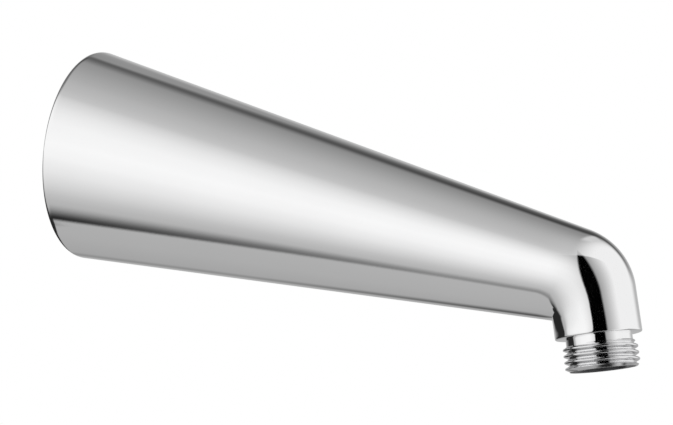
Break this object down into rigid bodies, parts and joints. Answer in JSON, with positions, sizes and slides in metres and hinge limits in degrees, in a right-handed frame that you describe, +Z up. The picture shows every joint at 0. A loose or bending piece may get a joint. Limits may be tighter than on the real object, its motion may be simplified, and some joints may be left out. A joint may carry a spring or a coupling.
{
  "type": "shower arm",
  "caption": "Wall-mounted shower arm: a cone with a level underside narrows into a rounded elbow and a short threaded outlet.",
  "frame": {"origin": "where the arm's axis meets the wall, in the plane of the rim that stands on the wall", "axes": "+X straight out of the wall, +Z up, +Y across the arm, to the left as seen from the room looking at the wall"},
  "size_m": [0.1793, 0.0668, 0.0814],
  "materials": {
    "chrome_plate": "polished chrome plate on cast brass"
  },
  "bodies": {
    "root": {"shower_arm": "chrome_plate"}
  },
  "joints": []
}
